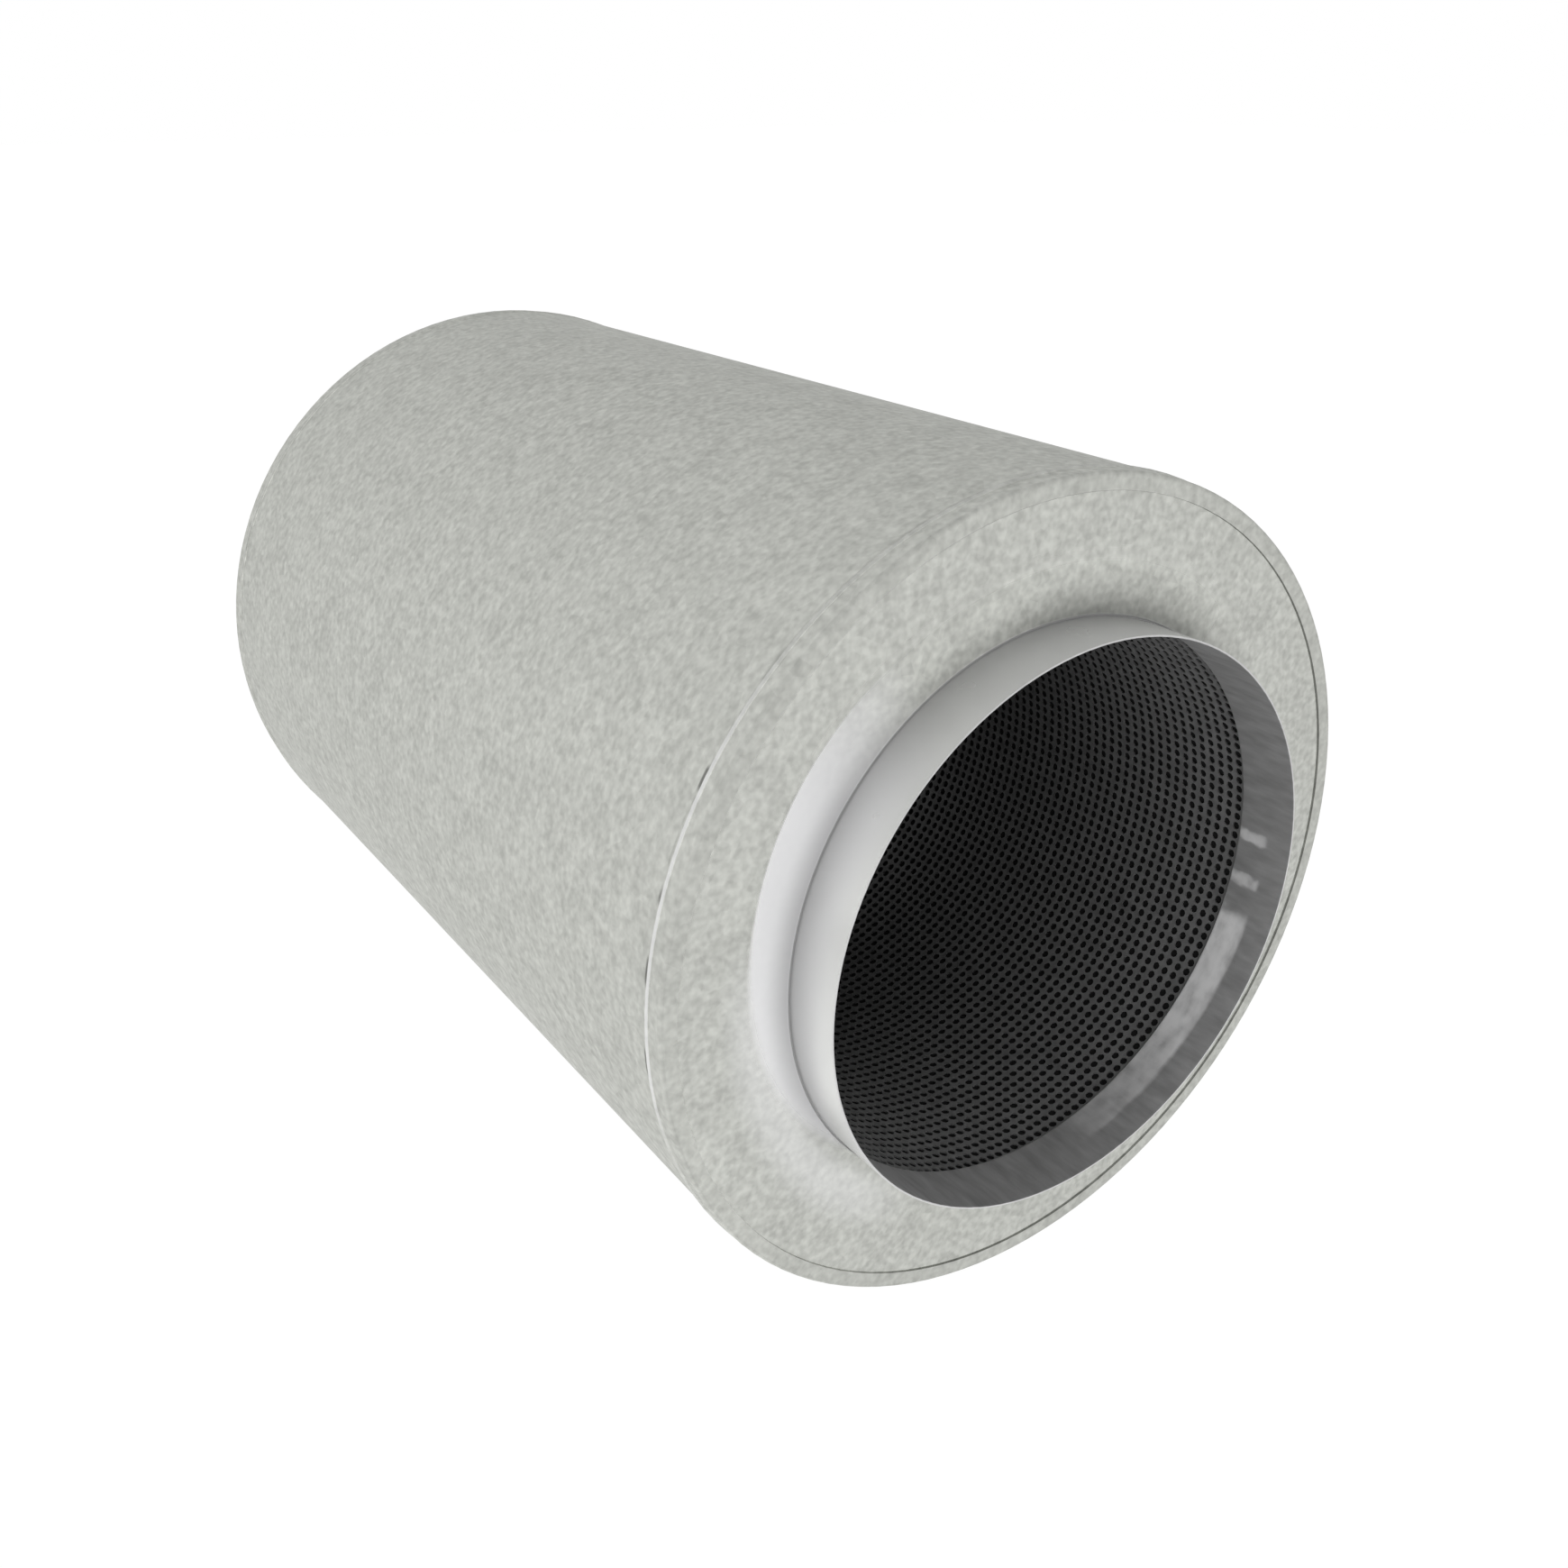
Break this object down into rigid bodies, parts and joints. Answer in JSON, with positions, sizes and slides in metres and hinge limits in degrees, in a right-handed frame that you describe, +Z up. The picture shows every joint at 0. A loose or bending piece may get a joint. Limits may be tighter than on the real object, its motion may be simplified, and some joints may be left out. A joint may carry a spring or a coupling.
{
  "type": "duct sound attenuator",
  "caption": "Round in-line duct silencer: sheet-steel casing with flat end caps, plain spigots and a perforated liner packed with mineral wool.",
  "frame": {"origin": "middle of the body, on its axis", "axes": "+Y along the axis from the front spigot to the rear one, +Z up"},
  "size_m": [0.3614, 0.5528, 0.3614],
  "materials": {
    "casing": "galvanised, mottled satin",
    "end_cap": "galvanised, mottled satin",
    "spigot": "smooth galvanised",
    "liner": "galvanised, perforated",
    "fleece": "black glass fleece",
    "wool": "mineral wool mat"
  },
  "bodies": {
    "root": {"outer_casing": "casing", "front_end_cap": "end_cap", "rear_end_cap": "end_cap", "front_spigot": "spigot", "rear_spigot": "spigot", "perforated_liner": "liner", "fleece_wrap": "fleece", "wool_infill": "wool"}
  },
  "joints": []
}
